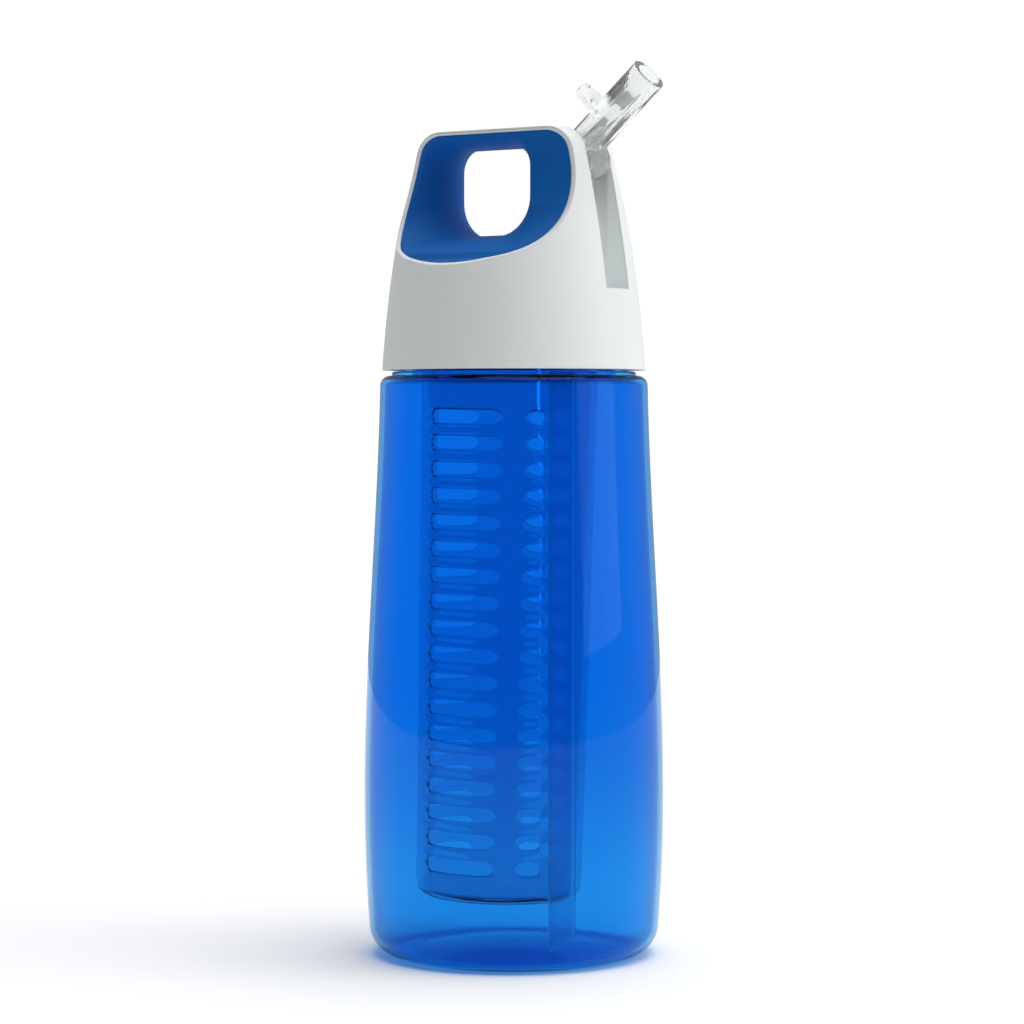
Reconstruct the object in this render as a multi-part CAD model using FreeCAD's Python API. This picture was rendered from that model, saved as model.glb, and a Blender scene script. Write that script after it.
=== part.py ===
import FreeCAD, Part
import math
import os

# Fruit infuser bottle. Millimetres, +Z up, origin at the middle of the base on the floor.
# +X points to the drinking spout, and Y runs through the carry loop.

# Bottle: a blown bottle with a soft belly, a rounded shoulder and a wide neck.
foot_radius = 37.0
belly_radius = 38.9
belly_height = 45.0
waist_radius = 37.9
waist_height = 79.0
shoulder_height = 149.4
shoulder_step = 0.5
shoulder_round = 2.6
base_round = 8.0
standing_width = 2.0
bottle_wall = 2.0
floor_thickness = 4.5
punt_depth = 2.5
bead_step = 3.3
bead_height = 1.9
neck_radius = 28.4
neck_wall = 1.8
neck_height = 15.6

# Cap: a tapered, slightly barrelled moulding that ends in a carry loop.
skirt_gap = 0.4
skirt_wall = 3.2
crown_radius = 24.6
cap_height = 61.8
cap_bulge = 1.4
crown_round = 7.0
cap_wall = 2.0
bore_room = 0.7

# Carry loop: a hollow scoop on the front and the back, with a flared hole between them.
loop_half_thickness = 9.5
loop_waist_drop = 6.5
scoop_rise = 8.8
loop_top_bar = 4.5
loop_side_bar = 5.8
loop_leg = 4.8
hole_rise = 18.0
hole_top_round_share = 0.27
hole_bottom_round_share = 0.4
flare_inset = 1.2
flare_sideways = 42.0
flare_up = 31.0
flare_down = 9.8
flare_round_growth = 18.0

# Grip liner: soft skin in the scoops and the hole, inside a thin rim of the cap.
liner_thickness = 2.0
rim_width = 1.0

# Spout: a flip-up tube on a knuckle, with a finger tab and two trunnions.
pivot_inset = 2.3
pivot_drop = 8.3
spout_tilt_deg = 41.0
spout_offset = 3.35
spout_length = 27.7
spout_radius = 4.65
spout_wall = 1.45
spout_rear_wall = 1.8
knuckle_radius = 4.4
knuckle_relief = 0.05
spout_port_radius = 1.6
trunnion_radius = 1.2
trunnion_length = 1.3
trunnion_clearance = 0.06
tab_from_tip = 17.2
tab_thickness = 2.0
tab_half_width = 4.7
tab_height = 11.6

# Groove that takes the folded spout.
groove_side_clearance = 0.6
groove_depth = 1.8
groove_rise = 3.6
groove_wall = 1.8
swing_clearance = 0.4

# Inner cap: threaded ring, ceiling, straw port and basket socket.
thread_room = 1.25
inner_ring_wall = 1.3
inner_fit = 0.05
ceiling_thickness = 2.2
ceiling_gap = 0.8
socket_wall = 1.6
socket_depth = 10.0
port_wall = 0.8
port_depth = 8.0
nipple_height = 3.0

# Rim gasket, in a channel of the ceiling over the bottle's rim.
gasket_lift = 0.1
gasket_overhang = 0.5
gasket_depth = 1.0

# Straw, beside the basket.
straw_radius = 3.5
straw_wall = 0.7
straw_room = 1.3
straw_angle_deg = -22.0
straw_floor_gap = 1.1
straw_bevel_deg = 35.0
straw_fit = 0.05

# Infuser basket: a tapered cup with rows of slots, spines and a flute for the straw.
basket_room = 2.0
basket_taper = 1.5
basket_floor_gap = 12.0
basket_end_bevel = 4.5
basket_wall = 1.6
basket_shift = 1.5
basket_lean_deg = 1.25
basket_lean_toward_deg = 214.0
basket_top_gap = 1.0
flute_clearance = 1.3
mouth_band = 21.0
slot_pitch = 6.85
slot_height = 4.4
first_slot_rise = 9.1
spine_count = 4
spine_width = 5.0
spine_angle_deg = -57.0
flute_margin = 0.4

# Basket seal: a soft sleeve on the socket that the basket pushes over.
seal_clearance = 0.5
seal_thickness = 1.2
seal_lip = 1.0

# Spout seat and feed tube, inside the leg of the cap behind the groove.
seat_radius = 3.6
seat_nose_radius = 2.4
seat_reach = 9.6
seat_gap = 0.3
seat_fit = 0.05
seat_bore_radius = 1.6
feed_radius = 2.2
feed_wall = 0.7
feed_inset = 1.7

# Vent valve: a duckbill in the ceiling, inside the basket's mouth.
vent_x = -9.0
vent_y = 5.0
vent_radius = 3.0
vent_flange = 1.0
vent_lip_half_width = 0.6
vent_length = 7.0
vent_fit = 0.05

# One overrun serves all cuts, and one tolerance finds the edges to round.
overrun = 2.0
edge_tolerance = 0.01

# Radii worked out from the neck, which the cap, the straw and the basket all have to suit.
neck_bore_radius = neck_radius - neck_wall
bead_radius = neck_radius + bead_step
cap_bore_radius = neck_radius + thread_room + inner_ring_wall + inner_fit
skirt_radius = cap_bore_radius + skirt_wall
shoulder_radius = skirt_radius + shoulder_step
punt_radius = foot_radius - base_round - standing_width
straw_orbit = neck_bore_radius - straw_room - straw_radius
straw_x = straw_orbit * math.cos(math.radians(straw_angle_deg))
straw_y = straw_orbit * math.sin(math.radians(straw_angle_deg))
basket_x = -basket_shift * math.cos(math.radians(straw_angle_deg))
basket_y = -basket_shift * math.sin(math.radians(straw_angle_deg))
basket_mouth_radius = neck_bore_radius - basket_room - basket_shift
basket_end_radius = basket_mouth_radius - basket_taper
flute_radius = straw_radius + flute_clearance
seal_radius = basket_mouth_radius - basket_wall - seal_clearance
socket_radius = seal_radius - seal_thickness
seal_flute = flute_radius + basket_wall + seal_clearance
socket_flute = seal_flute + seal_thickness

# Heights worked out from the floor up to the cap's bore, then down from the cap's top.
straw_end_height = floor_thickness + straw_floor_gap
basket_end_height = floor_thickness + basket_floor_gap
first_slot_height = basket_end_height + first_slot_rise
rim_height = shoulder_height + neck_height
skirt_height = shoulder_height + bead_height + skirt_gap
ceiling_height = rim_height + ceiling_gap
ceiling_top = ceiling_height + ceiling_thickness
basket_top = ceiling_height - basket_top_gap
slot_rows = 1 + int((basket_top - mouth_band - first_slot_height) / slot_pitch)
bore_top = ceiling_top + bore_room
scoop_bottom = bore_top + scoop_rise
groove_bottom = bore_top + groove_rise
hole_bottom = bore_top + hole_rise
cap_top = skirt_height + cap_height
loop_waist_height = cap_top - loop_waist_drop
hole_top = cap_top - loop_top_bar
pivot_z = cap_top - pivot_drop

# The loop and the spout's seat, worked out from the crown.
scoop_radius = loop_waist_height - scoop_bottom
hole_top_round = hole_top_round_share * (hole_top - hole_bottom)
hole_bottom_round = hole_bottom_round_share * (hole_top - hole_bottom)
flare_reach = skirt_radius - flare_inset
pivot_x = crown_radius - pivot_inset
seat_back_x = pivot_x - seat_reach
feed_x = seat_back_x + feed_inset
hole_left = loop_side_bar - crown_radius
hole_right = seat_back_x - loop_leg
spout_bore_radius = spout_radius - spout_wall
knuckle_half_width = spout_radius - knuckle_relief
groove_half_width = knuckle_half_width + groove_side_clearance
groove_floor_x = pivot_x - groove_depth

UP = FreeCAD.Vector(0, 0, 1)
ACROSS = FreeCAD.Vector(0, 1, 0)
OUT = FreeCAD.Vector(1, 0, 0)
ORIGIN = FreeCAD.Vector(0, 0, 0)


def at(x, y, z):
    return FreeCAD.Vector(x, y, z)


def line(start, end):
    return Part.LineSegment(start, end).toShape()


def arc(start, middle, end):
    return Part.Arc(start, middle, end).toShape()


def turned(edges):
    """Solid made by turning a closed outline in the XZ plane about the Z axis."""
    return Part.Face(Part.Wire(edges)).revolve(ORIGIN, UP, 360)


def upright(radius, bottom, top, x=0, y=0):
    return Part.makeCylinder(radius, top - bottom, at(x, y, bottom), UP)


def crosswise(radius, half_width, x, z):
    return Part.makeCylinder(radius, 2 * half_width, at(x, -half_width, z), ACROSS)


def round_ring(shape, radius, ring_radius, ring_height):
    """Fillet the circular edge about Z that lies at this radius and height."""
    edges = [
        edge for edge in shape.Edges
        if isinstance(edge.Curve, Part.Circle)
        and abs(edge.Curve.Radius - ring_radius) < edge_tolerance
        and abs(edge.Curve.Center.z - ring_height) < edge_tolerance
    ]
    return shape.makeFillet(radius, edges)


def bottle_form(inset, floor):
    """Bottle's outline without the neck, drawn in by inset, standing at the height of floor."""
    foot = at(foot_radius - inset, 0, floor)
    top = at(shoulder_radius - inset, 0, shoulder_height - inset)
    side = Part.BSplineCurve()
    side.interpolate([
        foot,
        at(belly_radius - inset, 0, belly_height),
        at(waist_radius - inset, 0, waist_height),
        top,
    ])
    shape = turned([
        line(at(0, 0, floor), foot),
        side.toShape(),
        line(top, at(0, 0, top.z)),
        line(at(0, 0, top.z), at(0, 0, floor)),
    ])
    shape = round_ring(shape, base_round - inset, foot.x, foot.z)
    return round_ring(shape, shoulder_round - inset, top.x, top.z)


def bottle_body():
    bead_top = shoulder_height + bead_height
    bead = upright(bead_radius, shoulder_height - bottle_wall, bead_top)
    neck = upright(neck_radius, shoulder_height - bottle_wall, rim_height)
    outside = bottle_form(0, 0).fuse([bead, neck])
    mouth = upright(neck_bore_radius, shoulder_height - 2 * bottle_wall, rim_height + overrun)
    inside = bottle_form(bottle_wall, floor_thickness).fuse(mouth)
    punt_sphere_radius = (punt_radius ** 2 + punt_depth ** 2) / (2 * punt_depth)
    punt = Part.makeSphere(punt_sphere_radius, at(0, 0, punt_depth - punt_sphere_radius))
    return outside.cut([inside, punt]).removeSplitter()


def cap_form(inset):
    """Cap's full tapered outline, drawn in by inset at the side and the top."""
    edge = at(skirt_radius - inset, 0, skirt_height)
    crown = at(crown_radius - inset, 0, cap_top - inset)
    middle = at((edge.x + crown.x) / 2 + cap_bulge, 0, (edge.z + crown.z) / 2)
    shape = turned([
        line(at(0, 0, edge.z), edge),
        arc(edge, middle, crown),
        line(crown, at(0, 0, crown.z)),
        line(at(0, 0, crown.z), at(0, 0, edge.z)),
    ])
    return round_ring(shape, crown_round - inset, crown.x, crown.z)


def scoop(side, grow):
    """Hollow on the front or the back of the carry loop."""
    centre_y = side * (loop_half_thickness + scoop_radius)
    start = at(-skirt_radius - overrun, centre_y, loop_waist_height)
    return Part.makeCylinder(scoop_radius + grow, 2 * (skirt_radius + overrun), start, OUT)


def hole_outline(y, sideways, down, up, round_growth, grow):
    """Rounded outline of the loop's hole at one depth."""
    left = hole_left - sideways - grow
    right = hole_right + sideways + grow
    bottom = hole_bottom - down - grow
    top = hole_top + up + grow
    low = hole_bottom_round + round_growth + grow
    high = hole_top_round + round_growth + grow
    nick_share = 1 - math.cos(math.radians(45))
    low_nick = low * nick_share
    high_nick = high * nick_share
    return Part.Wire([
        line(at(left + low, y, bottom), at(right - low, y, bottom)),
        arc(
            at(right - low, y, bottom),
            at(right - low_nick, y, bottom + low_nick),
            at(right, y, bottom + low)),
        line(at(right, y, bottom + low), at(right, y, top - high)),
        arc(
            at(right, y, top - high),
            at(right - high_nick, y, top - high_nick),
            at(right - high, y, top)),
        line(at(right - high, y, top), at(left + high, y, top)),
        arc(
            at(left + high, y, top),
            at(left + high_nick, y, top - high_nick),
            at(left, y, top - high)),
        line(at(left, y, top - high), at(left, y, bottom + low)),
        arc(
            at(left, y, bottom + low),
            at(left + low_nick, y, bottom + low_nick),
            at(left + low, y, bottom)),
    ])


def loop_hole(grow):
    """Hole of the carry loop, narrowest at mid thickness and flared to both sides."""
    middle = hole_outline(0, 0, 0, 0, 0, grow)
    flared = [
        hole_outline(side * flare_reach, flare_sideways, flare_down, flare_up, flare_round_growth, grow)
        for side in (-1, 1)
    ]
    return Part.makeLoft([flared[0], middle, flared[1]], True, False)


def loop_cut(grow):
    return [scoop(-1, grow), scoop(1, grow), loop_hole(grow)]


def spout_frame(shape):
    """Turn a shape drawn with the raised tube along +X about the pivot into its place."""
    shape.rotate(ORIGIN, ACROSS, -spout_tilt_deg)
    shape.translate(at(pivot_x, 0, pivot_z))
    return shape


def groove(grow):
    """Room for the spout: a round-floored channel, the knuckle's pocket and the raised tube's seat."""
    half = groove_half_width + grow
    reach = skirt_radius + overrun
    centre_x = groove_floor_x + groove_half_width
    bottom = groove_bottom - grow
    channel = upright(half, bottom, pivot_z, centre_x)
    mouth = Part.makeBox(reach, 2 * half, pivot_z - bottom, at(centre_x, -half, bottom))
    pocket = crosswise(knuckle_radius + swing_clearance + grow, half, pivot_x, pivot_z)
    step = swing_clearance + grow
    tube_seat = spout_frame(Part.makeBox(reach, 2 * half, reach, at(-step, -half, -grow)))
    front = Part.makeBox(reach, 2 * half, reach, at(pivot_x, -half, pivot_z - grow))
    return channel.fuse([mouth, pocket, tube_seat, front])


def trunnion(clearance):
    half = knuckle_half_width + trunnion_length + clearance
    return crosswise(trunnion_radius + clearance, half, pivot_x, pivot_z)


def cap_cavity():
    """Hollow of the cap: the bore for the inner cap, and the loft and leg above it."""
    bore = upright(cap_bore_radius, skirt_height - overrun, bore_top)
    above = upright(skirt_radius, bore_top, cap_top)
    loft = cap_form(cap_wall).common(above)
    loft = loft.cut(loop_cut(liner_thickness + cap_wall) + [groove(groove_wall)])
    return bore.fuse(loft)


def seat_nose(clearance):
    back = at(seat_back_x, 0, pivot_z)
    return Part.makeCylinder(seat_nose_radius + clearance, seat_reach, back, OUT)


def cap_pocket():
    """Space that the grip liner fills, inside the rim."""
    cut = loop_cut(liner_thickness)
    return cap_form(rim_width).common(cut[0].fuse(cut[1:]))


def cap_shell(pocket, cavity):
    cuts = loop_cut(0) + [pocket, cavity, groove(0), trunnion(trunnion_clearance), seat_nose(seat_fit)]
    return cap_form(0).cut(cuts)


def grip_liner(pocket):
    return pocket.cut(loop_cut(0))


def spout():
    """Clear spout in the raised position."""
    tube = Part.makeCylinder(spout_radius, spout_length, at(0, 0, spout_offset), OUT)
    knuckle = crosswise(knuckle_radius, knuckle_half_width, 0, 0)
    tab_centre = spout_offset + tab_height - tab_half_width
    tab_x = spout_length - tab_from_tip
    tab_foot = at(tab_x, -tab_half_width, spout_offset)
    plate = Part.makeBox(tab_thickness, 2 * tab_half_width, tab_centre - spout_offset, tab_foot)
    crown = Part.makeCylinder(tab_half_width, tab_thickness, at(tab_x, 0, tab_centre), OUT)
    bore = Part.makeCylinder(spout_bore_radius, spout_length, at(spout_rear_wall, 0, spout_offset), OUT)
    riser = Part.makeCylinder(spout_port_radius, spout_offset, ORIGIN, UP)
    riser.translate(at(spout_rear_wall + spout_port_radius, 0, 0))
    body = tube.fuse([knuckle, plate, crown])
    body = spout_frame(body.cut([bore, riser]))
    port_reach = knuckle_radius + overrun
    port = Part.makeCylinder(spout_port_radius, port_reach, at(pivot_x - port_reach, 0, pivot_z), OUT)
    return body.cut(port).fuse(trunnion(0)).removeSplitter()


def spout_seat():
    """Silicone elbow that seals on the knuckle."""
    front_x = pivot_x - knuckle_radius - swing_clearance - groove_wall - seat_fit
    body = Part.makeCylinder(seat_radius, front_x - seat_back_x, at(seat_back_x, 0, pivot_z), OUT)
    knuckle = crosswise(knuckle_radius + seat_gap, groove_half_width, pivot_x, pivot_z)
    way_out = Part.makeCylinder(seat_bore_radius, pivot_x - feed_x, at(feed_x, 0, pivot_z), OUT)
    way_in = upright(seat_bore_radius, pivot_z - seat_radius - overrun, pivot_z, feed_x)
    return body.fuse(seat_nose(0)).cut([knuckle, way_out, way_in]).removeSplitter()


def feed_tube():
    """Riser from the straw port's nipple to the seat, leaning inwards."""
    bottom = ceiling_top + nipple_height
    top = pivot_z - seat_radius - seat_fit
    foot = at(straw_x, straw_y, bottom)
    run = at(feed_x, 0, top) - foot
    length = run.Length
    run.normalize()
    foot = foot - run * overrun
    outside = Part.makeCylinder(feed_radius, length + 2 * overrun, foot, run)
    bore = Part.makeCylinder(feed_radius - feed_wall, length + 2 * overrun, foot, run)
    slab = upright(skirt_radius, bottom, top)
    return outside.cut(bore).common(slab)


def inner_cap():
    """Threaded ring and ceiling, with the straw port and the basket's socket under it."""
    ring_radius = cap_bore_radius - inner_fit
    disc = upright(ring_radius, skirt_height, ceiling_top)
    room = upright(ring_radius - inner_ring_wall, skirt_height - overrun, ceiling_height)
    body = disc.cut(room)
    channel_top = ceiling_height + gasket_depth
    channel = upright(neck_radius + gasket_overhang, ceiling_height - overrun, channel_top)
    channel = channel.cut(upright(neck_bore_radius, ceiling_height - overrun, channel_top))
    socket_bottom = ceiling_height - socket_depth
    socket = basket_sleeve(socket_radius, socket_flute, socket_bottom, ceiling_height)
    hollow = basket_sleeve(
        socket_radius - socket_wall, socket_flute + socket_wall, socket_bottom - overrun, ceiling_height)
    straw_hole_radius = straw_radius + straw_fit
    port_bottom = ceiling_height - port_depth
    port = upright(straw_hole_radius + port_wall, port_bottom, ceiling_height, straw_x, straw_y)
    straw_hole = upright(straw_hole_radius, port_bottom - overrun, ceiling_height, straw_x, straw_y)
    nipple_top = ceiling_top + nipple_height
    nipple = upright(feed_radius, ceiling_top, nipple_top, straw_x, straw_y)
    way = upright(feed_radius - feed_wall, ceiling_height, nipple_top + overrun, straw_x, straw_y)
    vent_hole_radius = vent_radius - vent_flange + vent_fit
    vent_hole = upright(vent_hole_radius, ceiling_height - overrun, ceiling_top + overrun, vent_x, vent_y)
    body = body.cut(channel).fuse([socket.cut(hollow), port, nipple])
    return body.cut([straw_hole, way, vent_hole]).removeSplitter()


def basket_sleeve(radius, flute, bottom, top):
    """Upright plug about the basket's axis with the straw's flute cut into its side."""
    plug = upright(radius, bottom, top, basket_x, basket_y)
    return plug.cut(upright(flute, bottom - overrun, top + overrun, straw_x, straw_y))


def rim_gasket():
    bottom = rim_height + gasket_lift
    top = ceiling_height + gasket_depth - inner_fit
    outside = upright(neck_radius + gasket_overhang - inner_fit, bottom, top)
    return outside.cut(upright(neck_bore_radius + inner_fit, bottom, top))


def basket_seal():
    bottom = ceiling_height - socket_depth + seal_lip
    outside = basket_sleeve(seal_radius, seal_flute, bottom, ceiling_height - inner_fit)
    inside = basket_sleeve(
        socket_radius + inner_fit, socket_flute - inner_fit, bottom - overrun, ceiling_height + overrun)
    return outside.cut(inside)


def straw():
    top = ceiling_height - straw_fit
    outside = upright(straw_radius, straw_end_height, top, straw_x, straw_y)
    bore = upright(straw_radius - straw_wall, straw_end_height - overrun, top + overrun, straw_x, straw_y)
    size = 4 * straw_radius
    bevel = Part.makeBox(size, size, size, at(-straw_radius, -size / 2, -size))
    bevel.rotate(at(-straw_radius, 0, 0), ACROSS, -straw_bevel_deg)
    bevel.translate(at(straw_x, straw_y, straw_end_height))
    return outside.cut([bore, bevel])


def leaned(shape):
    """Lean a shape drawn about Z as the basket hangs, about the middle of its socket."""
    turn = math.radians(basket_lean_toward_deg)
    axis = at(math.sin(turn), -math.cos(turn), 0)
    hang = at(0, 0, ceiling_height - socket_depth / 2)
    shape.rotate(hang, axis, basket_lean_deg)
    shape.translate(at(basket_x, basket_y, 0))
    return shape


def basket_form(inset, extra):
    """Tapered cup with a bevelled lower edge, drawn in by inset and carried up past its mouth by extra."""
    taper_share = basket_taper / (basket_top - basket_end_height)
    bevel = basket_end_bevel - inset * (2 - math.sqrt(2))
    end_height = basket_end_height + inset
    end_radius = basket_end_radius - inset
    top = at(basket_mouth_radius - inset + taper_share * extra, 0, basket_top + extra)
    side = at(end_radius, 0, end_height + bevel)
    end = at(end_radius - bevel, 0, end_height)
    return turned([
        line(at(0, 0, end_height), end),
        line(end, side),
        line(side, top),
        line(top, at(0, 0, top.z)),
        line(at(0, 0, top.z), at(0, 0, end_height)),
    ])


def slot(from_deg, to_deg):
    """Cutter for one slot through the basket's wall, at height zero."""
    half = slot_height / 2
    inner = basket_end_radius - basket_wall - overrun
    outer = basket_mouth_radius + overrun
    corners = [at(inner, 0, -half), at(outer, 0, -half), at(outer, 0, half), at(inner, 0, half)]
    window = Part.Face(Part.makePolygon(corners + corners[:1])).revolve(ORIGIN, UP, to_deg - from_deg)
    window.rotate(ORIGIN, UP, from_deg)
    return window


def slot_spans():
    """Angles between the spines, with the straw's flute left plain."""
    spine_deg = math.degrees(spine_width / basket_mouth_radius) / 2
    flute_deg = math.degrees((flute_radius + flute_margin) / basket_mouth_radius)
    step = 360 / spine_count
    spans = []
    for index in range(spine_count):
        start = spine_angle_deg + index * step + spine_deg
        end = spine_angle_deg + (index + 1) * step - spine_deg
        if start < straw_angle_deg < end:
            spans.append((start, straw_angle_deg - flute_deg))
            spans.append((straw_angle_deg + flute_deg, end))
        else:
            spans.append((start, end))
    return spans


def infuser_basket():
    low = basket_end_height - overrun
    high = basket_top + overrun
    flute = upright(flute_radius, low, high, straw_x, straw_y)
    flute_wall = upright(flute_radius + basket_wall, low, high, straw_x, straw_y)
    inside = leaned(basket_form(basket_wall, overrun))
    cutters = []
    for start, end in slot_spans():
        pattern = slot(start, end)
        for row in range(slot_rows):
            cutter = pattern.copy()
            cutter.translate(at(0, 0, first_slot_height + row * slot_pitch))
            cutters.append(leaned(cutter))
    return leaned(basket_form(0, 0)).cut([flute, inside.cut(flute_wall)]).cut(cutters)


def vent_valve():
    """Duckbill: a flange on the ceiling, a plug through it and two flat lips below."""
    flange = upright(vent_radius, ceiling_top + vent_fit, ceiling_top + vent_flange, vent_x, vent_y)
    stem_radius = vent_radius - vent_flange
    stem = upright(stem_radius, ceiling_height, ceiling_top + vent_fit, vent_x, vent_y)
    bill = Part.makeBox(2 * stem_radius, 2 * vent_lip_half_width, vent_length)
    bill.translate(at(vent_x - stem_radius, vent_y - vent_lip_half_width, ceiling_height - vent_length))
    rounder = upright(stem_radius, ceiling_height - vent_length, ceiling_height, vent_x, vent_y)
    return flange.fuse([stem, bill.common(rounder)]).removeSplitter()


def export(name, shape):
    shape.exportStep(os.path.join("parts", name + ".step"))
    print(name, "solids", len(shape.Solids), "valid", shape.isValid(), "volume", round(shape.Volume, 1))


def main():
    os.makedirs("parts", exist_ok=True)
    pocket = cap_pocket()
    cavity = cap_cavity()
    export("bottle_body", bottle_body())
    export("cap_shell", cap_shell(pocket, cavity))
    export("grip_liner", grip_liner(pocket))
    export("spout", spout())
    export("spout_seat", spout_seat())
    export("feed_tube", feed_tube())
    export("inner_cap", inner_cap())
    export("rim_gasket", rim_gasket())
    export("basket_seal", basket_seal())
    export("straw", straw())
    export("infuser_basket", infuser_basket())
    export("vent_valve", vent_valve())


main()
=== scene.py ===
import math

import bmesh
import bpy
from mathutils import Matrix, Vector


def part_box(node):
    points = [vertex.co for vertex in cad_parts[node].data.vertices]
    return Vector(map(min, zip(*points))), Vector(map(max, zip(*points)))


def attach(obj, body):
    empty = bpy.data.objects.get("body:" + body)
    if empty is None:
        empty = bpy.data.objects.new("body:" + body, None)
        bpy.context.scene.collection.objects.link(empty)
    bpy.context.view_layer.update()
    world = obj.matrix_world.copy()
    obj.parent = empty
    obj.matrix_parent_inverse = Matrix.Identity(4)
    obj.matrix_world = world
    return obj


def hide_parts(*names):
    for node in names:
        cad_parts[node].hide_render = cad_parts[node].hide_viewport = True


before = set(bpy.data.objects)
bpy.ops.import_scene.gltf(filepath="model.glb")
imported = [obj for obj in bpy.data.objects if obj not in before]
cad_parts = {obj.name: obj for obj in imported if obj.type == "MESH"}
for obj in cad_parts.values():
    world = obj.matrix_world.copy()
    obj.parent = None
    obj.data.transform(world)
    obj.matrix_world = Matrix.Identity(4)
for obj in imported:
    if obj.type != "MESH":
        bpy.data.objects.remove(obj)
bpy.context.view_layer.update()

# Lengths are in millimetres, and MM turns them to metres.
MM = 0.001
MERGE_DISTANCE = 0.001
SOLID_MERGE_DISTANCE = 0.002

# Bottle: the solid's outline, with a thinner wall, a floor that follows the hollow of the base
# and a shoulder a little higher, as the photograph shows.
FOOT_RADIUS = 37.0
BELLY_RADIUS = 38.9
BELLY_HEIGHT = 45.0
WAIST_RADIUS = 37.9
WAIST_HEIGHT = 79.0
SHOULDER_RADIUS = 34.7
SHOULDER_HEIGHT = 150.3
SHOULDER_ROUND = 2.6
BASE_ROUND = 8.0
BOTTLE_WALL = 1.3
PUNT_RADIUS = 27.0
PUNT_DEPTH = 2.5
BEAD_RADIUS = 31.7
BEAD_TOP = 151.3
BEAD_ROUND = 0.5
NECK_RADIUS = 28.4
NECK_WALL = 1.8
NECK_EASE = 1.0
RIM_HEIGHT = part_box("bottle_body")[1].z / MM
RIM_ROUND = 0.5
# Moulding mark in the middle of the base.
GATE_RADIUS = 1.6
GATE_TIP_RADIUS = 0.8 * GATE_RADIUS
GATE_HEIGHT = 0.6
TURN_STEPS = 144
BASE_STEPS = 12
SMALL_ROUND_STEPS = 4

# Screw thread on the neck.
THREAD_PITCH = 4.0
THREAD_TURNS = 1.5
THREAD_HEIGHT = 0.7
THREAD_WIDTH = 1.8
THREAD_START = 155.0

# Straw: its place round the axis, and how far its foot is let down below the solid's.
STRAW_ORBIT = 21.8
STRAW_ANGLE = math.radians(-22.0)
STRAW_FOOT = 20.0
STRAW_EXTRA = 2.8

# Basket: a tapered cup that leans a little, with a flute for the straw.
BASKET_TOP = 164.8
BASKET_MOUTH_RADIUS = 23.1
BASKET_END_RADIUS = 21.6
BASKET_END_HEIGHT = 14.6
BASKET_END_ROUND = 3.4
BASKET_END_FLAT = 13.0
BASKET_WALL = 1.7
BASKET_SHIFT = 1.5
BASKET_LEAN = math.radians(1.25)
BASKET_LEAN_TOWARD = math.radians(214.0)
BASKET_HANG = 160.8
BASKET_STEPS = 72
BASKET_END_STEPS = 2
BASKET_ROUNDING = 2
FLUTE_RADIUS = 4.8
# Slots: rows up the wall, and columns in steps round it between the closed spines.
SLOT_ROWS = 18
SLOT_PITCH = 6.77
SLOT_HEIGHT = 3.4
SLOT_END_SHARE = 0.45
FIRST_SLOT = 24.35
TOP_SLOT_BAND = 3.0
SPINE_START = math.radians(-60.0)
SLOT_COLUMNS = ((3, 7), (24, 34), (41, 49), (60, 72))

# Camera, read from the photograph.
CAMERA_AZIMUTH = math.radians(34.0)
CAMERA_RIGHT = Vector((math.cos(CAMERA_AZIMUTH), math.sin(CAMERA_AZIMUTH), 0))
CAMERA_NEAR = Vector((math.sin(CAMERA_AZIMUTH), -math.cos(CAMERA_AZIMUTH), 0))
CAMERA_DISTANCE = 832.0
CAMERA_HEIGHT = 139.0
AIM_HEIGHT = 114.9
AIM_ASIDE = -0.5
IMAGE_PIXELS = 1024
FOCAL_PIXELS = 3200
SENSOR_WIDTH = 36.0

# Studio: a floor that fades into a white wall, and a room that is dim on the camera's side.
FLOOR_REACH = 1100.0
FLOOR_FADE = (120.0, 700.0)
FLOOR_GLOW = (0.16, 1.06)
# Painted light: a blue glow on the floor round the foot, standing in for light passed through the
# bottle; where it fades out and how strongly it glows.
PAINTED_FOOT_GLOW_FADE = (FOOT_RADIUS - 3, FOOT_RADIUS + 9)
PAINTED_FOOT_GLOW = 0.12
BRIGHT_TURN = math.radians(20.0)
WALL_EDGE = (-0.3, 0.5)
# The room's level on the camera's side and behind the bottle, for each kind of ray.
# A later row wins.
ROOM_LEVELS = (
    ("", 0.08, 0.85), ("Is Reflection Ray", 0.1, 0.4), ("Is Diffuse Ray", 0.08, 0.85),
    ("Is Transmission Ray", 0.92, 1.08), ("Is Camera Ray", 1.05, 1.05))
# Enough for a ray through bottle, basket and straw and out at the back.
LIGHT_BOUNCES = 24


def linear(hex_colour):
    """Linear RGBA of an sRGB colour written as six hex digits."""
    channels = [int(hex_colour[i:i + 2], 16) / 255 for i in (0, 2, 4)]
    return [c / 12.92 if c <= 0.04045 else ((c + 0.055) / 1.055) ** 2.4 for c in channels] + [1.0]


def add(tree, kind, settings=None, **sockets):
    """Add a node, set its properties, and set or link its named inputs."""
    node = tree.nodes.new(kind)
    for key, value in (settings or {}).items():
        setattr(node, key, value)
    for key, value in sockets.items():
        socket = node.inputs[key.replace("_", " ")]
        if isinstance(value, bpy.types.NodeSocket):
            tree.links.new(value, socket)
        else:
            socket.default_value = value
    return node


def new_material(name):
    """An empty material, its node tree, and the place on the piece."""
    material = bpy.data.materials.new(name)
    material.use_nodes = True
    tree = material.node_tree
    tree.nodes.clear()
    place = add(tree, "ShaderNodeTexCoord").outputs["Object"]
    return material, tree, place


def finish_material(tree, shader):
    add(tree, "ShaderNodeOutputMaterial", Surface=shader.outputs[0])


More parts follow.
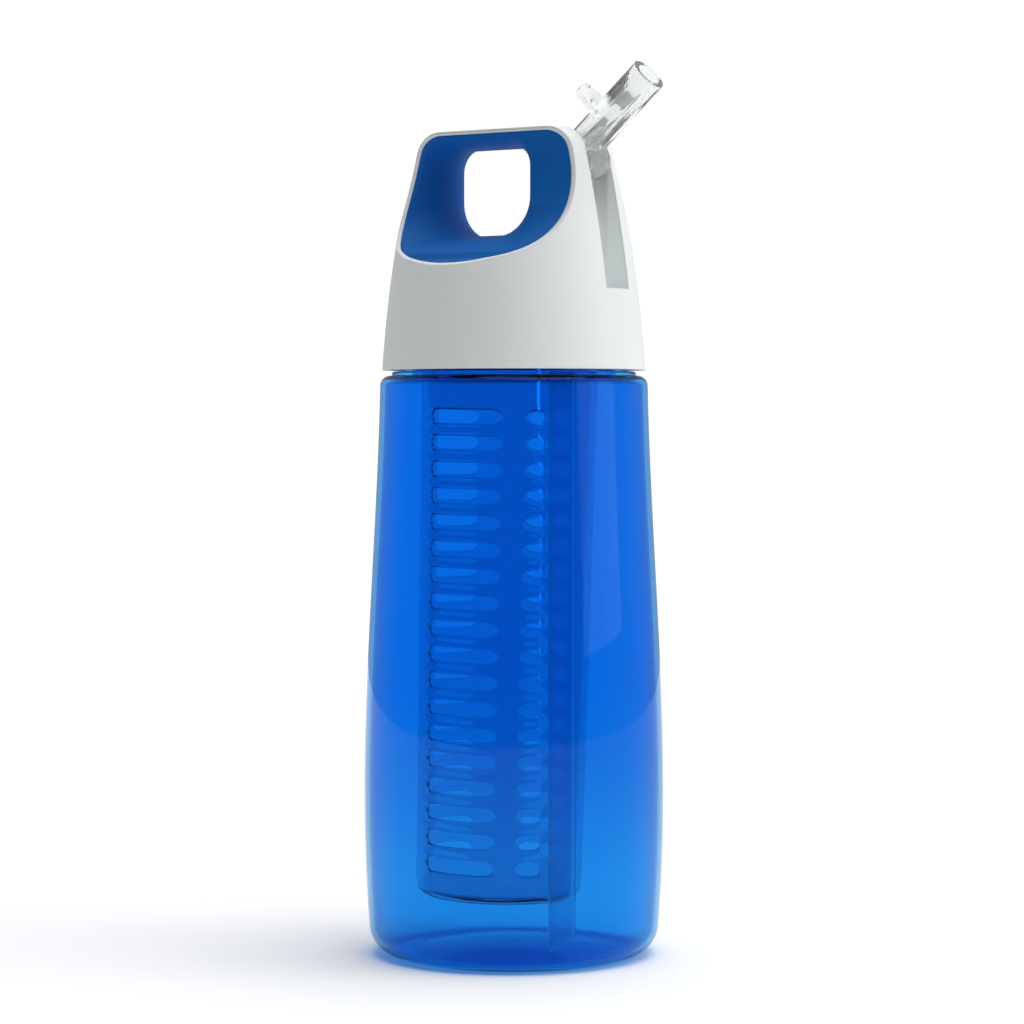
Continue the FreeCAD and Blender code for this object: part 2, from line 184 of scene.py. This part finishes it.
def blown_blue_copolyester():
    """Bottle: blown clear copolyester, deeper blue where the wall is seen edge-on.

    The wall is tinted paler towards the base, partly painted light for the bright floor seen
    through the lower wall and partly a wall blown thinner there. A slow waviness bends the
    highlights. The index is under the plastic's own, which shows black bands in a wall of this
    gauge.
    """
    wave_length, wave_depth = 28 * MM, 0.6 * MM
    pale_below, full_above = 8 * MM, 75 * MM
    edge_start = 0.55
    material, tree, place = new_material("blown_blue_copolyester")
    wave = add(tree, "ShaderNodeTexNoise", Vector=place, Scale=1 / wave_length, Detail=1.0)
    bump = add(
        tree, "ShaderNodeBump", Strength=0.06, Distance=wave_depth, Height=wave.outputs["Fac"])
    facing = add(tree, "ShaderNodeLayerWeight", Blend=0.5)
    edge = add(
        tree, "ShaderNodeMapRange", Value=facing.outputs["Facing"],
        From_Min=edge_start, From_Max=1.0)
    # Partly painted light: the tint turns paler low down, standing in for the bright floor seen
    # through the lower wall, and partly a thinner wall there.
    height = add(tree, "ShaderNodeSeparateXYZ", Vector=place)
    thin_wall_and_painted_floor_light = add(
        tree, "ShaderNodeMapRange", {"interpolation_type": "SMOOTHSTEP"},
        Value=height.outputs["Z"], From_Min=pale_below, From_Max=full_above,
        To_Min=1.0, To_Max=0.0)
    wall = add(
        tree, "ShaderNodeMix", {"data_type": "RGBA"}, Factor=thin_wall_and_painted_floor_light.outputs["Result"],
        A=linear("34A2EC"), B=linear("4AB8EE"))
    tint = add(
        tree, "ShaderNodeMix", {"data_type": "RGBA"}, Factor=edge.outputs["Result"],
        A=wall.outputs["Result"], B=linear("145CB4"))
    shader = add(
        tree, "ShaderNodeBsdfPrincipled", Base_Color=tint.outputs["Result"], Roughness=0.015,
        IOR=1.18, Specular_IOR_Level=0.1, Transmission_Weight=1.0, Normal=bump.outputs["Normal"])
    finish_material(tree, shader)
    return material


def moulded_blue_copolyester():
    """Basket: injection moulded clear blue plastic, with a faint flow mottle in its gloss.

    The index is low for the same reason as the bottle's.
    """
    mottle_size = 6 * MM
    material, tree, place = new_material("moulded_blue_copolyester")
    mottle = add(tree, "ShaderNodeTexNoise", Vector=place, Scale=1 / mottle_size, Detail=2.0)
    rough = add(
        tree, "ShaderNodeMapRange", Value=mottle.outputs["Fac"], To_Min=0.03, To_Max=0.12)
    shader = add(
        tree, "ShaderNodeBsdfPrincipled", Base_Color=linear("A8DDEC"),
        Roughness=rough.outputs["Result"], IOR=1.12, Specular_IOR_Level=0.1,
        Transmission_Weight=1.0)
    finish_material(tree, shader)
    return material


def satin_white_polypropylene():
    """Cap: white polypropylene from a spark-eroded mould, finely grained, with no sharp gloss.

    The moulding's edges are eased, so they catch a soft line of light.
    """
    grain_size, grain_depth = 0.35 * MM, 0.05 * MM
    flow_size = 18 * MM
    edge_radius = 0.7 * MM
    material, tree, place = new_material("satin_white_polypropylene")
    grain = add(tree, "ShaderNodeTexNoise", Vector=place, Scale=1 / grain_size, Detail=2.0)
    flow = add(tree, "ShaderNodeTexNoise", Vector=place, Scale=1 / flow_size, Detail=1.0)
    tint = add(
        tree, "ShaderNodeMix", {"data_type": "RGBA"}, Factor=flow.outputs["Fac"],
        A=linear("E9EEEE"), B=linear("EEF2F2"))
    rough = add(
        tree, "ShaderNodeMapRange", Value=grain.outputs["Fac"], To_Min=0.42, To_Max=0.55)
    soft_edge = add(tree, "ShaderNodeBevel", {"samples": 6}, Radius=edge_radius)
    bump = add(
        tree, "ShaderNodeBump", Strength=0.1, Distance=grain_depth, Height=grain.outputs["Fac"],
        Normal=soft_edge.outputs["Normal"])
    shader = add(
        tree, "ShaderNodeBsdfPrincipled", Base_Color=tint.outputs["Result"],
        Roughness=rough.outputs["Result"], IOR=1.49, Normal=bump.outputs["Normal"])
    finish_material(tree, shader)
    return material


def soft_blue_elastomer():
    """Grip liner: overmoulded elastomer, dull, with hardly any gloss."""
    grain_size, grain_depth = 0.4 * MM, 0.05 * MM
    flow_size = 14 * MM
    material, tree, place = new_material("soft_blue_elastomer")
    grain = add(tree, "ShaderNodeTexNoise", Vector=place, Scale=1 / grain_size, Detail=3.0)
    flow = add(tree, "ShaderNodeTexNoise", Vector=place, Scale=1 / flow_size, Detail=1.0)
    tint = add(
        tree, "ShaderNodeMix", {"data_type": "RGBA"}, Factor=flow.outputs["Fac"],
        A=linear("0C5FB0"), B=linear("1066B8"))
    bump = add(
        tree, "ShaderNodeBump", Strength=0.12, Distance=grain_depth, Height=grain.outputs["Fac"])
    shader = add(
        tree, "ShaderNodeBsdfPrincipled", Base_Color=tint.outputs["Result"], Roughness=0.6,
        IOR=1.5, Specular_IOR_Level=0.12, Normal=bump.outputs["Normal"])
    finish_material(tree, shader)
    return material


def clear_hard_plastic():
    """Spout: polished clear copolyester, with a trace of flow in the surface."""
    flow_size, flow_depth = 5 * MM, 0.2 * MM
    material, tree, place = new_material("clear_hard_plastic")
    flow = add(tree, "ShaderNodeTexNoise", Vector=place, Scale=1 / flow_size, Detail=1.0)
    bump = add(
        tree, "ShaderNodeBump", Strength=0.05, Distance=flow_depth, Height=flow.outputs["Fac"])
    shader = add(
        tree, "ShaderNodeBsdfPrincipled", Base_Color=linear("FAFCFC"), Roughness=0.05, IOR=1.25,
        Transmission_Weight=0.88, Normal=bump.outputs["Normal"])
    finish_material(tree, shader)
    return material


def milky_polythene():
    """Straw: extruded polythene, milky and softly glossy, with faint draw lines along it."""
    line_width, line_stretch = 0.6 * MM, 0.02
    material, tree, place = new_material("milky_polythene")
    along = add(tree, "ShaderNodeMapping", Vector=place, Scale=(1, 1, line_stretch))
    lines = add(
        tree, "ShaderNodeTexNoise", Vector=along.outputs["Vector"], Scale=1 / line_width,
        Detail=1.0)
    rough = add(tree, "ShaderNodeMapRange", Value=lines.outputs["Fac"], To_Min=0.18, To_Max=0.3)
    shader = add(
        tree, "ShaderNodeBsdfPrincipled", Base_Color=linear("E6F1FA"),
        Roughness=rough.outputs["Result"], IOR=1.15, Transmission_Weight=0.95)
    finish_material(tree, shader)
    return material


def white_silicone():
    """Seals: translucent white silicone with a dusty surface."""
    dust_size = 0.5 * MM
    glow_depth = 1.5 * MM
    material, tree, place = new_material("white_silicone")
    dust = add(tree, "ShaderNodeTexNoise", Vector=place, Scale=1 / dust_size, Detail=3.0)
    rough = add(tree, "ShaderNodeMapRange", Value=dust.outputs["Fac"], To_Min=0.5, To_Max=0.7)
    shader = add(
        tree, "ShaderNodeBsdfPrincipled", Base_Color=linear("E4E8E9"),
        Roughness=rough.outputs["Result"], IOR=1.41, Subsurface_Weight=0.3,
        Subsurface_Radius=(glow_depth, glow_depth, glow_depth))
    finish_material(tree, shader)
    return material


def studio_floor_paint():
    """Floor: matt white paint that glows more towards its edge and so fades into the white wall,
    with a painted blue glow round the foot that stands in for light through the bottle.
    """
    material, tree, place = new_material("studio_floor_paint")
    reach = add(tree, "ShaderNodeVectorMath", {"operation": "LENGTH"}, Vector=place)
    fade = add(
        tree, "ShaderNodeMapRange", {"interpolation_type": "SMOOTHSTEP"},
        Value=reach.outputs["Value"], From_Min=FLOOR_FADE[0] * MM,
        From_Max=FLOOR_FADE[1] * MM).outputs["Result"]
    paint = add(
        tree, "ShaderNodeMix", {"data_type": "RGBA"}, Factor=fade,
        A=linear("F2F3F4"), B=linear("000000"))
    glow = add(
        tree, "ShaderNodeMapRange", Value=fade, To_Min=FLOOR_GLOW[0], To_Max=FLOOR_GLOW[1])
    # Painted light: the floor glows blue round the foot, for light that comes through the bottle.
    foot = add(
        tree, "ShaderNodeMapRange", {"interpolation_type": "SMOOTHSTEP"},
        Value=reach.outputs["Value"], From_Min=PAINTED_FOOT_GLOW_FADE[0] * MM,
        From_Max=PAINTED_FOOT_GLOW_FADE[1] * MM, To_Min=1.0, To_Max=0.0).outputs["Result"]
    painted_foot_glow_colour = add(
        tree, "ShaderNodeMix", {"data_type": "RGBA"}, Factor=foot,
        A=linear("FFFFFF"), B=linear("5AA6F2"))
    strength = add(tree, "ShaderNodeMath", {"operation": "MULTIPLY_ADD"})
    tree.links.new(foot, strength.inputs[0])
    strength.inputs[1].default_value = PAINTED_FOOT_GLOW
    tree.links.new(glow.outputs["Result"], strength.inputs[2])
    shader = add(
        tree, "ShaderNodeBsdfPrincipled", Base_Color=paint.outputs["Result"], Roughness=0.6,
        Specular_IOR_Level=0.0, Emission_Color=painted_foot_glow_colour.outputs["Result"],
        Emission_Strength=strength.outputs[0])
    finish_material(tree, shader)
    return material


BOTTLE_PLASTIC = blown_blue_copolyester()
BASKET_PLASTIC = moulded_blue_copolyester()
CAP_PLASTIC = satin_white_polypropylene()
GRIP_RUBBER = soft_blue_elastomer()
SPOUT_PLASTIC = clear_hard_plastic()
STRAW_PLASTIC = milky_polythene()
SILICONE = white_silicone()


def place_piece(name, bm, material, body, crease=math.radians(35)):
    """Make an object of a bmesh, smooth but for edges over the crease angle, on its body."""
    mesh = bpy.data.meshes.new(name)
    bm.to_mesh(mesh)
    bm.free()
    mesh.materials.append(material)
    mesh.shade_smooth()
    mesh.set_sharp_from_angle(angle=crease)
    piece = bpy.data.objects.new(name, mesh)
    bpy.context.scene.collection.objects.link(piece)
    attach(piece, body)
    return piece


def draw_chain(bm, outline):
    """Edges along an outline of (radius, height) points in millimetres, in the XZ plane."""
    points = [bm.verts.new((r * MM, 0, z * MM)) for r, z in outline]
    edges = [bm.edges.new(pair) for pair in zip(points, points[1:])]
    return points + edges


def turn(bm, geometry, steps, angle=2 * math.pi, rise=0.0):
    """Turn a chain about the bottle's axis, up a helix where it has a rise in millimetres."""
    bmesh.ops.spin(
        bm, geom=geometry, cent=(0, 0, 0), axis=(0, 0, 1), angle=angle, steps=steps,
        dvec=(0, 0, rise * MM / steps), use_merge=rise == 0.0)
    bmesh.ops.remove_doubles(bm, verts=bm.verts, dist=MERGE_DISTANCE * MM)
    bmesh.ops.recalc_face_normals(bm, faces=bm.faces)


def round_corner(centre_r, centre_z, radius, start_deg, end_deg, steps=8):
    """Points on an arc in the outline, angles from +radius towards +height."""
    points = []
    for i in range(steps + 1):
        angle = math.radians(start_deg + (end_deg - start_deg) * i / steps)
        points.append((centre_r + radius * math.cos(angle), centre_z + radius * math.sin(angle)))
    return points


def side_radius(height):
    """Radius of the bottle's side: one smooth curve through foot, belly, waist and shoulder."""
    known = [(0.0, FOOT_RADIUS), (BELLY_HEIGHT, BELLY_RADIUS), (WAIST_HEIGHT, WAIST_RADIUS),
             (SHOULDER_HEIGHT, SHOULDER_RADIUS)]
    total = 0.0
    for z, r in known:
        share = 1.0
        for other, _ in known:
            if other != z:
                share *= (height - other) / (z - other)
        total += r * share
    return total


def side_points(inset, bottom, top, steps=40):
    """Points on the bottle's side between two heights, set in by the wall for the inside."""
    heights = [bottom + (top - bottom) * i / steps for i in range(steps + 1)]
    return [(side_radius(z) - inset, z) for z in heights]


def bottle_outline():
    """Half section of the bottle, from the hollow under the base round to the floor inside."""
    sphere = (PUNT_RADIUS ** 2 + PUNT_DEPTH ** 2) / (2 * PUNT_DEPTH)
    sphere_z = PUNT_DEPTH - sphere
    reach = math.degrees(math.asin(PUNT_RADIUS / sphere))
    gate_z = PUNT_DEPTH - GATE_HEIGHT
    gate = [(0, gate_z), (GATE_TIP_RADIUS, gate_z), (GATE_RADIUS, PUNT_DEPTH)]
    punt = gate + round_corner(0, sphere_z, sphere, 90, 90 - reach, BASE_STEPS)[1:]

    base_r = side_radius(BASE_ROUND) - BASE_ROUND
    base = round_corner(base_r, BASE_ROUND, BASE_ROUND, -90, 0, BASE_STEPS)
    shoulder_z = SHOULDER_HEIGHT - SHOULDER_ROUND
    shoulder_r = side_radius(shoulder_z) - SHOULDER_ROUND
    side = side_points(0, BASE_ROUND, shoulder_z)
    shoulder = round_corner(shoulder_r, shoulder_z, SHOULDER_ROUND, 0, 90)
    bead = [(BEAD_RADIUS, SHOULDER_HEIGHT)]
    bead += round_corner(
        BEAD_RADIUS - BEAD_ROUND, BEAD_TOP - BEAD_ROUND, BEAD_ROUND, 0, 90, SMALL_ROUND_STEPS)

    mouth = NECK_RADIUS - NECK_WALL
    rim_z = RIM_HEIGHT - RIM_ROUND
    neck = [(NECK_RADIUS, BEAD_TOP)]
    neck += round_corner(NECK_RADIUS - RIM_ROUND, rim_z, RIM_ROUND, 0, 90, SMALL_ROUND_STEPS)
    neck += round_corner(mouth + RIM_ROUND, rim_z, RIM_ROUND, 90, 180, SMALL_ROUND_STEPS)
    inner_top = SHOULDER_HEIGHT - BOTTLE_WALL
    neck += [(mouth, inner_top + NECK_EASE), (mouth + NECK_EASE, inner_top)]

    inner_shoulder = round_corner(shoulder_r, shoulder_z, SHOULDER_ROUND - BOTTLE_WALL, 90, 0)
    inner_side = side_points(BOTTLE_WALL, shoulder_z, BASE_ROUND)
    inner_base = round_corner(base_r, BASE_ROUND, BASE_ROUND - BOTTLE_WALL, 0, -90, BASE_STEPS)
    floor = round_corner(0, sphere_z, sphere + BOTTLE_WALL, 90 - reach, 90, BASE_STEPS)
    return (punt + base + side[1:] + shoulder[1:] + bead + neck + inner_shoulder
            + inner_side[1:] + inner_base[1:] + floor)


def make_bottle():
    """The blown bottle, turned from its half section."""
    bm = bmesh.new()
    turn(bm, draw_chain(bm, bottle_outline()), TURN_STEPS)
    piece = place_piece("bottle_shell", bm, BOTTLE_PLASTIC, "bottle")
    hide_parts("bottle_body")


def make_thread():
    """Screw ridge: a rib turned up a helix on the neck, sunk a little into it."""
    bm = bmesh.new()
    half = THREAD_WIDTH / 2
    crest = NECK_RADIUS + THREAD_HEIGHT
    sunk = NECK_RADIUS - THREAD_HEIGHT / 2
    chain = draw_chain(bm, [
        (sunk, THREAD_START - half), (crest, THREAD_START - half / 2),
        (crest, THREAD_START + half / 2), (sunk, THREAD_START + half)])
    turn(bm, chain, int(TURN_STEPS * THREAD_TURNS / 2), 2 * math.pi * THREAD_TURNS,
         THREAD_PITCH * THREAD_TURNS)
    bmesh.ops.holes_fill(bm, edges=bm.edges, sides=0)
    bmesh.ops.recalc_face_normals(bm, faces=bm.faces)
    place_piece("neck_thread", bm, BOTTLE_PLASTIC, "bottle")


def slot_heights():
    """Mid-heights of the rows of slots."""
    return [FIRST_SLOT + SLOT_PITCH * row for row in range(SLOT_ROWS)]


def basket_outline():
    """The basket's outer half section, with a ring at both edges of each row of slots."""
    outline = [(0, BASKET_END_HEIGHT), (BASKET_END_FLAT, BASKET_END_HEIGHT)]
    outline += round_corner(
        BASKET_END_RADIUS - BASKET_END_ROUND, BASKET_END_HEIGHT + BASKET_END_ROUND,
        BASKET_END_ROUND, -90, 0, BASKET_END_STEPS)
    heights = []
    for middle in slot_heights():
        heights += [middle - SLOT_HEIGHT / 2, middle + SLOT_HEIGHT / 2]
    heights += [heights[-1] + TOP_SLOT_BAND, BASKET_TOP]
    taper = (BASKET_MOUTH_RADIUS - BASKET_END_RADIUS) / (BASKET_TOP - BASKET_END_HEIGHT)
    return outline + [(BASKET_END_RADIUS + taper * (z - BASKET_END_HEIGHT), z) for z in heights]


def is_slot(face):
    """True for a face of the basket's wall that lies in a slot."""
    centre = face.calc_center_median() / MM
    rows = [z for z in slot_heights() if abs(centre.z - z) < SLOT_HEIGHT / 4]
    step_angle = 2 * math.pi / BASKET_STEPS
    turned = (math.atan2(centre.y, centre.x) - SPINE_START) % (2 * math.pi)
    step = int(turned / step_angle)
    return bool(rows) and any(first <= step < last for first, last in SLOT_COLUMNS)


def round_slot_ends(bm):
    """Draw the corners of each slot together, so that its ends come out round."""
    corners = [vert for vert in bm.verts if vert.is_boundary and len(vert.link_faces) == 3]
    for middle in slot_heights():
        bmesh.ops.scale(
            bm, vec=(1, 1, SLOT_END_SHARE), space=Matrix.Translation((0, 0, -middle * MM)),
            verts=[vert for vert in corners if abs(vert.co.z / MM - middle) < SLOT_HEIGHT])


def press_flute(bm):
    """Push the wall in along the straw, so that a plain flute runs down the basket."""
    axis = Vector((math.cos(STRAW_ANGLE), math.sin(STRAW_ANGLE))) * STRAW_ORBIT * MM
    inward = -axis.normalized()
    for vert in bm.verts:
        from_straw = Vector((vert.co.x, vert.co.y)) - axis
        if from_straw.length < FLUTE_RADIUS * MM:
            along = from_straw.dot(inward)
            aside = (from_straw - inward * along).length
            depth = math.sqrt((FLUTE_RADIUS * MM) ** 2 - aside ** 2)
            vert.co.x += inward.x * (depth - along)
            vert.co.y += inward.y * (depth - along)


def make_basket():
    """The slotted basket: a turned skin with its slots cut, leaned, fluted, walled and rounded."""
    bm = bmesh.new()
    chain = draw_chain(bm, basket_outline())
    bmesh.ops.rotate(
        bm, verts=bm.verts, cent=(0, 0, 0), matrix=Matrix.Rotation(SPINE_START, 3, "Z"))
    turn(bm, chain, BASKET_STEPS)
    bmesh.ops.delete(bm, geom=[face for face in bm.faces if is_slot(face)], context="FACES")
    round_slot_ends(bm)
    lean_axis = Vector((math.sin(BASKET_LEAN_TOWARD), -math.cos(BASKET_LEAN_TOWARD), 0))
    bmesh.ops.rotate(
        bm, verts=bm.verts, cent=(0, 0, BASKET_HANG * MM),
        matrix=Matrix.Rotation(BASKET_LEAN, 3, lean_axis))
    from_straw = Vector((-math.cos(STRAW_ANGLE), -math.sin(STRAW_ANGLE), 0))
    bmesh.ops.translate(bm, verts=bm.verts, vec=from_straw * BASKET_SHIFT * MM)
    press_flute(bm)
    piece = place_piece(
        "slotted_basket", bm, BASKET_PLASTIC, "basket", math.pi)
    wall = piece.modifiers.new("wall", "SOLIDIFY")
    wall.thickness = BASKET_WALL * MM
    wall.offset = -1
    rounding = piece.modifiers.new("rounding", "SUBSURF")
    rounding.levels = BASKET_ROUNDING
    rounding.render_levels = BASKET_ROUNDING
    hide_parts("infuser_basket")


def smooth_copy(node, name, material, body, crease=math.radians(25), extra=0.0):
    """A merged, smooth copy that stands for a solid, with its foot let down by any extra length."""
    bm = bmesh.new()
    bm.from_mesh(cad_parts[node].data)
    bmesh.ops.remove_doubles(bm, verts=bm.verts, dist=SOLID_MERGE_DISTANCE * MM)
    if extra:
        low = min(vert.co.z for vert in bm.verts)
        foot = [vert for vert in bm.verts if vert.co.z < low + STRAW_FOOT * MM]
        bmesh.ops.translate(bm, verts=foot, vec=(0, 0, -extra * MM))
    piece = place_piece(name, bm, material, body, crease)
    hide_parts(node)


def make_floor():
    """A round floor that reaches past what the camera sees."""
    bm = bmesh.new()
    bmesh.ops.create_circle(bm, cap_ends=True, segments=TURN_STEPS, radius=FLOOR_REACH * MM)
    mesh = bpy.data.meshes.new("studio_floor")
    bm.to_mesh(mesh)
    bm.free()
    mesh.materials.append(studio_floor_paint())
    floor = bpy.data.objects.new("studio_floor", mesh)
    bpy.context.scene.collection.objects.link(floor)


def make_world():
    """Studio with a white wall behind the bottle and a dim room in front, darker in the gloss."""
    world = bpy.data.worlds.new("studio")
    bpy.context.scene.world = world
    world.use_nodes = True
    tree = world.node_tree
    tree.nodes.clear()
    look = add(tree, "ShaderNodeTexCoord").outputs["Generated"]
    bright_side = CAMERA_AZIMUTH - BRIGHT_TURN
    dot = add(tree, "ShaderNodeVectorMath", {"operation": "DOT_PRODUCT"})
    tree.links.new(look, dot.inputs[0])
    dot.inputs[1].default_value = (-math.sin(bright_side), math.cos(bright_side), 0.0)
    ray = add(tree, "ShaderNodeLightPath")
    strength = None
    for kind, dim, bright in ROOM_LEVELS:
        level = add(
            tree, "ShaderNodeMapRange", {"interpolation_type": "SMOOTHSTEP"},
            Value=dot.outputs["Value"], From_Min=WALL_EDGE[0], From_Max=WALL_EDGE[1],
            To_Min=dim, To_Max=bright).outputs["Result"]
        if strength is None:
            strength = level
        else:
            strength = add(
                tree, "ShaderNodeMix", Factor=ray.outputs[kind], A=strength,
                B=level).outputs["Result"]
    sky = add(tree, "ShaderNodeBackground", Color=(1, 1, 1, 1), Strength=strength)
    add(tree, "ShaderNodeOutputWorld", Surface=sky.outputs[0])


def make_light(name, offset, size, power):
    """Square softbox, placed in camera terms: right, towards the camera, up, in millimetres."""
    aside, near, up = offset
    light = bpy.data.lights.new(name, "AREA")
    light.size = size * MM
    light.energy = power
    lamp = bpy.data.objects.new(name, light)
    spot = (CAMERA_RIGHT * aside + CAMERA_NEAR * near + Vector((0, 0, up))) * MM
    lamp.location = spot
    lamp.rotation_mode = "QUATERNION"
    lamp.rotation_quaternion = (Vector((0, 0, AIM_HEIGHT * MM)) - spot).to_track_quat("-Z", "Y")
    bpy.context.scene.collection.objects.link(lamp)


def make_camera():
    """The photograph's camera."""
    lens = bpy.data.cameras.new("photo_camera")
    lens.sensor_width = SENSOR_WIDTH
    lens.lens = SENSOR_WIDTH * FOCAL_PIXELS / IMAGE_PIXELS
    camera = bpy.data.objects.new("photo_camera", lens)
    aside = CAMERA_RIGHT * AIM_ASIDE
    camera.location = (CAMERA_NEAR * CAMERA_DISTANCE + aside + Vector((0, 0, CAMERA_HEIGHT))) * MM
    aim = (aside + Vector((0, 0, AIM_HEIGHT))) * MM
    camera.rotation_mode = "QUATERNION"
    camera.rotation_quaternion = (aim - camera.location).to_track_quat("-Z", "Y")
    bpy.context.scene.collection.objects.link(camera)
    bpy.context.scene.camera = camera


make_camera()
make_world()
make_light("right_softbox", offset=(900, 250, 420), size=700, power=2.3)
make_light("overhead_softbox", offset=(200, 150, 1300), size=1100, power=12)
make_floor()
bpy.context.scene.view_settings.view_transform = "Standard"
bpy.context.scene.cycles.max_bounces = LIGHT_BOUNCES
bpy.context.scene.cycles.transmission_bounces = LIGHT_BOUNCES

make_bottle()
make_thread()
make_basket()
smooth_copy("cap_shell", "cap_moulding", CAP_PLASTIC, "cap")
smooth_copy("grip_liner", "loop_grip", GRIP_RUBBER, "cap")
smooth_copy("spout", "flip_spout", SPOUT_PLASTIC, "spout")
smooth_copy("straw", "drinking_straw", STRAW_PLASTIC, "cap", extra=STRAW_EXTRA)
smooth_copy("inner_cap", "threaded_inner_cap", CAP_PLASTIC, "cap")
smooth_copy("rim_gasket", "rim_seal", SILICONE, "gasket")
smooth_copy("basket_seal", "basket_sleeve", SILICONE, "cap")
smooth_copy("spout_seat", "spout_seal", SILICONE, "cap")
smooth_copy("feed_tube", "riser_tube", SILICONE, "cap")
smooth_copy("vent_valve", "duckbill_vent", SILICONE, "cap")
